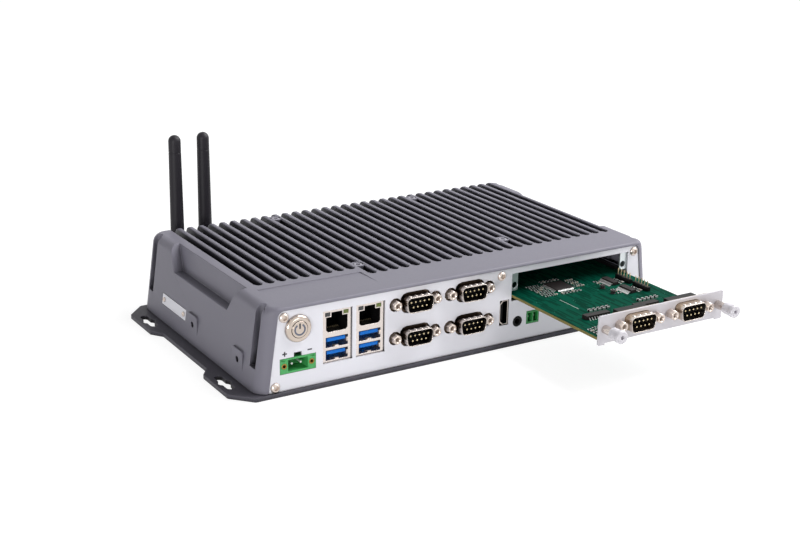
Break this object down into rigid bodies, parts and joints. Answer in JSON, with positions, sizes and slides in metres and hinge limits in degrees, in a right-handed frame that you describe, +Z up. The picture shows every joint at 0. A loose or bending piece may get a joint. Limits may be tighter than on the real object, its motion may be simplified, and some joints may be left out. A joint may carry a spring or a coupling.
{
  "type": "industrial mini computer",
  "caption": "Fanless box computer with a finned cast housing on a flanged base, a port panel, a slide-out serial card with thumbscrews and tilting rear antennas.",
  "frame": {"origin": "centre of the base plate's underside", "axes": "+Z up, +X to the right of the front panel, the front panel faces -Y"},
  "size_m": [0.283, 0.2657, 0.0995],
  "materials": {
    "cast_housing": "grey powder-coated die casting",
    "base_paint": "grey powder-coated sheet",
    "panel_silver": "silver-white satin",
    "screw_steel": "zinc-plated",
    "bezel_steel": "polished",
    "plated_shell": "nickel-plated",
    "sheet_steel": "galvanised",
    "black_plastic": "moulded",
    "green_plastic": "moulded",
    "blue_plastic": "moulded",
    "gold_pins": "gold-plated",
    "brass_insert": "turned",
    "board_green": "solder mask",
    "chip_black": "moulded",
    "small_parts": "moulded",
    "lamp_lens": "clear tinted",
    "spreader_aluminium": "machined",
    "antenna_rubber": "moulded"
  },
  "bodies": {
    "computer": {"base_plate": "base_paint", "housing": "cast_housing", "front_panel": "panel_silver", "rear_panel": "panel_silver", "panel_screws": "screw_steel", "base_plate_screws": "screw_steel", "heatsink_screws": "screw_steel", "reader_cover": "panel_silver", "reader_cover_screws": "screw_steel", "mainboard": "board_green", "mainboard_standoffs": "brass_insert", "mainboard_screws": "screw_steel", "cpu_package": "chip_black", "heat_spreader": "spreader_aluminium", "memory_socket": "black_plastic", "memory_module": "board_green", "storage_drive": "chip_black", "coin_cell": "screw_steel", "power_button_body": "bezel_steel", "power_button_nut": "bezel_steel", "dc_terminal": "green_plastic", "dc_terminal_inserts": "brass_insert", "terminal_pins": "gold_pins", "switch_terminal": "green_plastic", "lan_usb_shells": "plated_shell", "lan_jack_inserts": "black_plastic", "lan_lamps": "lamp_lens", "usb_tongues": "blue_plastic", "com_port_shells": "plated_shell", "com_port_insulators": "black_plastic", "com_port_pins": "gold_pins", "com_port_jackscrews": "screw_steel", "video_port_shell": "plated_shell", "video_port_tongue": "black_plastic", "audio_jack": "black_plastic", "card_tray": "sheet_steel", "card_tray_posts": "brass_insert", "card_guides": "black_plastic", "card_socket": "black_plastic", "card_riser": "board_green", "antenna_jacks": "brass_insert"},
    "card": {"card_bracket": "sheet_steel", "card_board": "board_green", "card_main_chip": "chip_black", "card_line_drivers": "chip_black", "card_pin_headers": "black_plastic", "card_header_pins": "gold_pins", "card_small_parts": "small_parts", "card_port_shells": "plated_shell", "card_port_insulators": "black_plastic", "card_port_pins": "gold_pins", "card_jackscrews": "screw_steel", "thumbscrew_ferrules": "screw_steel"},
    "power_button": {"power_button_cap": "bezel_steel"},
    "left_thumbscrew": {"thumbscrew_left": "bezel_steel"},
    "right_thumbscrew": {"thumbscrew_right": "bezel_steel"},
    "left_elbow": {"antenna_elbow_left": "antenna_rubber"},
    "right_elbow": {"antenna_elbow_right": "antenna_rubber"},
    "left_whip": {"antenna_whip_left": "antenna_rubber"},
    "right_whip": {"antenna_whip_right": "antenna_rubber"}
  },
  "joints": [
    {"name": "power_button_press", "type": "slide", "parent": "computer", "child": "power_button", "axis": [0, 1, 0], "range_m": [0, 0.0015], "stiffness_N_per_m": 800, "springref_m": -0.0005},
    {"name": "card_slide", "type": "slide", "parent": "computer", "child": "card", "axis": [0, 1, 0], "range_m": [-0.02, 0.0757]},
    {"name": "left_thumbscrew_turn", "type": "hinge", "parent": "card", "child": "left_thumbscrew", "pos_m": [0.02999, -0.1596, 0.0353], "axis": [0, 1, 0], "continuous": true},
    {"name": "right_thumbscrew_turn", "type": "hinge", "parent": "card", "child": "right_thumbscrew", "pos_m": [0.10759, -0.1596, 0.0353], "axis": [0, 1, 0], "continuous": true},
    {"name": "left_antenna_swivel", "type": "hinge", "parent": "computer", "child": "left_elbow", "pos_m": [-0.0994, 0.0934, 0.025], "axis": [0, 1, 0], "range_deg": [-90, 0]},
    {"name": "left_antenna_tilt", "type": "hinge", "parent": "left_elbow", "child": "left_whip", "pos_m": [-0.0994, 0.0934, 0.025], "axis": [-1, 0, 0], "range_deg": [0, 90]},
    {"name": "right_antenna_swivel", "type": "hinge", "parent": "computer", "child": "right_elbow", "pos_m": [-0.0812, 0.0934, 0.025], "axis": [0, 1, 0], "range_deg": [0, 90]},
    {"name": "right_antenna_tilt", "type": "hinge", "parent": "right_elbow", "child": "right_whip", "pos_m": [-0.0812, 0.0934, 0.025], "axis": [-1, 0, 0], "range_deg": [0, 90]}
  ]
}
